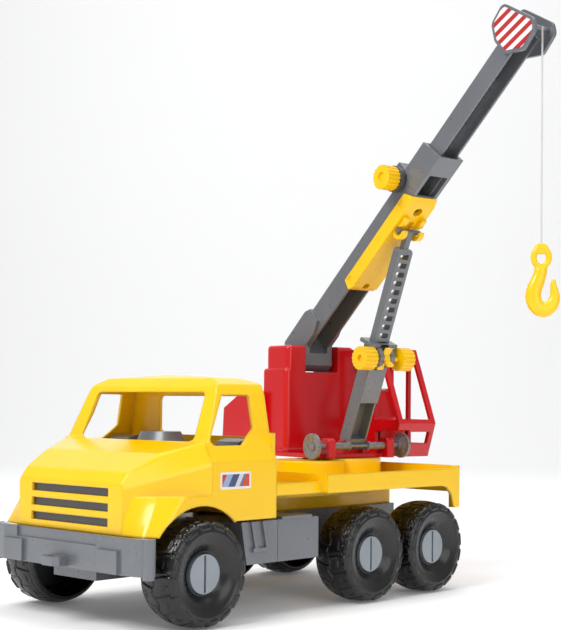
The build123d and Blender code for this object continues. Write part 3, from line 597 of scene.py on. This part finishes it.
def smooth_route(route, steps=6):
    """Catmull-Rom points through the hook's stations."""
    last = len(route) - 1
    result = []
    for index in range(last):
        places = (max(0, index - 1), index, index + 1, min(last, index + 2))
        a, b, c, d = [Vector(route[place]) for place in places]
        for step in range(steps):
            t = step / steps
            result.append(0.5 * (2 * b + (c - a) * t + (2 * a - 5 * b + 4 * c - d) * t * t
                                 + (3 * b - a - 3 * c + d) * t ** 3))
    result.append(Vector(route[-1]))
    return result


def build_hook():
    """A cast hook: bowl, ring and top loop in one mesh, fused by a fine remesh."""
    middle = centre("hoist_cord")
    top = Vector((middle.x, middle.y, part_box("hoist_cord")[0][2]))
    stations = smooth_route(HOOK_ROUTE)
    verts, faces = tube_about([(s.x, s.y) for s in stations], [s.z for s in stations], 24, HOOK_FLATNESS)
    for ring_verts, ring_faces in (ring_about(*HOOK_RING), ring_about(*HOOK_TOP_LOOP)):
        start = len(verts)
        verts += ring_verts
        faces += [tuple(start + corner for corner in face) for face in ring_faces]
    turn = Matrix.Rotation(HOOK_TURN, 3, "Z")
    placed = [top + (turn @ (v * MM)) for v in verts]
    mesh = new_mesh("hook_casting", placed, faces, yellow_small)
    piece = put("hook_casting", mesh, "hook_block")
    remesh = piece.modifiers.new("join", "REMESH")
    remesh.mode = "VOXEL"
    remesh.voxel_size = HOOK_VOXEL
    remesh.use_smooth_shade = True
    soften = piece.modifiers.new("soften", "SMOOTH")
    soften.factor = 0.5
    soften.iterations = 6
    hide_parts("crane_hook")
    return piece


# ---- cord ---------------------------------------------------------------------------------
INTO_RING = 9.5 * MM
ROUTE_STATIONS = 7
CORD_ROWS = 190
CORD_AROUND = 18
CORD_STRANDS = 3
LAY_LENGTH = 5.2 * MM
STRAND_RELIEF = 0.14


def cord_route(top, bottom):
    """The cord's centreline, read back from a smooth NURBS route."""
    curve = bpy.data.curves.new("cord_route", "CURVE")
    curve.dimensions = "3D"
    curve.resolution_u = 12
    spline = curve.splines.new("NURBS")
    spline.points.add(ROUTE_STATIONS - 1)
    for index, point in enumerate(spline.points):
        point.co = (*top.lerp(bottom, index / (ROUTE_STATIONS - 1)), 1.0)
    spline.order_u = 3
    spline.use_endpoint_u = True
    route = bpy.data.objects.new("cord_route", curve)
    bpy.context.scene.collection.objects.link(route)
    bpy.context.view_layer.update()
    line = bpy.data.meshes.new_from_object(route)
    points = [vertex.co.copy() for vertex in line.vertices]
    bpy.data.objects.remove(route)
    bpy.data.curves.remove(curve)
    bpy.data.meshes.remove(line)
    return points


def build_cord(hook):
    """The hoist cord: laid strands round the line from the head bar into the hook's ring."""
    low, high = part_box("hoist_cord")
    middle = centre("hoist_cord")
    radius = (high[0] - low[0]) / 2
    top = Vector((middle.x, middle.y, high[2]))
    bottom = Vector((middle.x, middle.y, low[2] - INTO_RING))
    route = cord_route(top, bottom)
    verts = []
    for row in range(CORD_ROWS + 1):
        place = top.lerp(bottom, row / CORD_ROWS)
        twist = tau * (top.z - place.z) / LAY_LENGTH
        for step in range(CORD_AROUND):
            angle = tau * step / CORD_AROUND
            lobe = 1 - STRAND_RELIEF * (1 - abs(cos(CORD_STRANDS / 2 * (angle - twist))))
            verts.append(place + Vector((cos(angle), sin(angle), 0)) * radius * lobe)
    faces = quads(CORD_ROWS + 1, CORD_AROUND)
    faces.append(tuple(range(CORD_AROUND)))
    faces.append(tuple(range(CORD_ROWS * CORD_AROUND, (CORD_ROWS + 1) * CORD_AROUND)))
    mesh = new_mesh("hoist_cord_line", verts, faces, cord_fibre)
    piece = put("hoist_cord_line", mesh, "hoist_line")
    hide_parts("hoist_cord")
    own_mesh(piece)


# ---- finishes on the CAD pieces -----------------------------------------------------------
STRIPE_PITCH = 9.3 * MM
STRIPE_SHARE = 0.51
STRIPE_LEAN = radians(13)


def paint(material, *names):
    for name in names:
        NODES[name].data.materials.clear()
        NODES[name].data.materials.append(material)


def head_stripes():
    """The head's warning stripes, which repeat roughly across the boom."""
    along = Vector(joint("boom_extend")["axis"])
    rise = Vector(joint("boom_lift")["axis"]).cross(along).normalized()
    across = rise * cos(STRIPE_LEAN) + along * sin(STRIPE_LEAN)
    return stripes("head_stripes", tuple(across), STRIPE_PITCH, STRIPE_SHARE)


def paint_all():
    paint(yellow, "cab_shell", "deck_bed")
    paint(yellow_small, "boom_bracket", "boom_knob", "lift_knobs", "lift_pinion")
    paint(red, "turret_base", "turret_housing", "operator_cab", "operator_seat")
    paint(gray, "chassis_frame", "front_bumper", "side_box_left", "side_box_right")
    paint(gray, "boom_outer", "boom_inner")
    paint(gray_fine, "strut_channel", "ladder_rack", "cab_interior")
    paint(dark_gray, "grille_panel", "boom_knob_flange", "turret_retainer")
    paint(pale_gray, *[f"hub_cap_{axle}_{side}" for axle in AXLES for side in SIDES])
    paint(steel, *[f"axle_{axle}" for axle in AXLES], "boom_pivot_pin", "strut_pivot_pin", "head_bar")
    paint(silver, "winch_shaft", "winch_wheel_left", "winch_wheel_right")
    paint(head_stripes(), "head_sticker_left", "head_sticker_right")
    paint(badge("door_badge"), "door_sticker_left", "door_sticker_right")


build_camera()
stage_floor()
build_light()
build_wheels()
build_cord(build_hook())
paint_all()
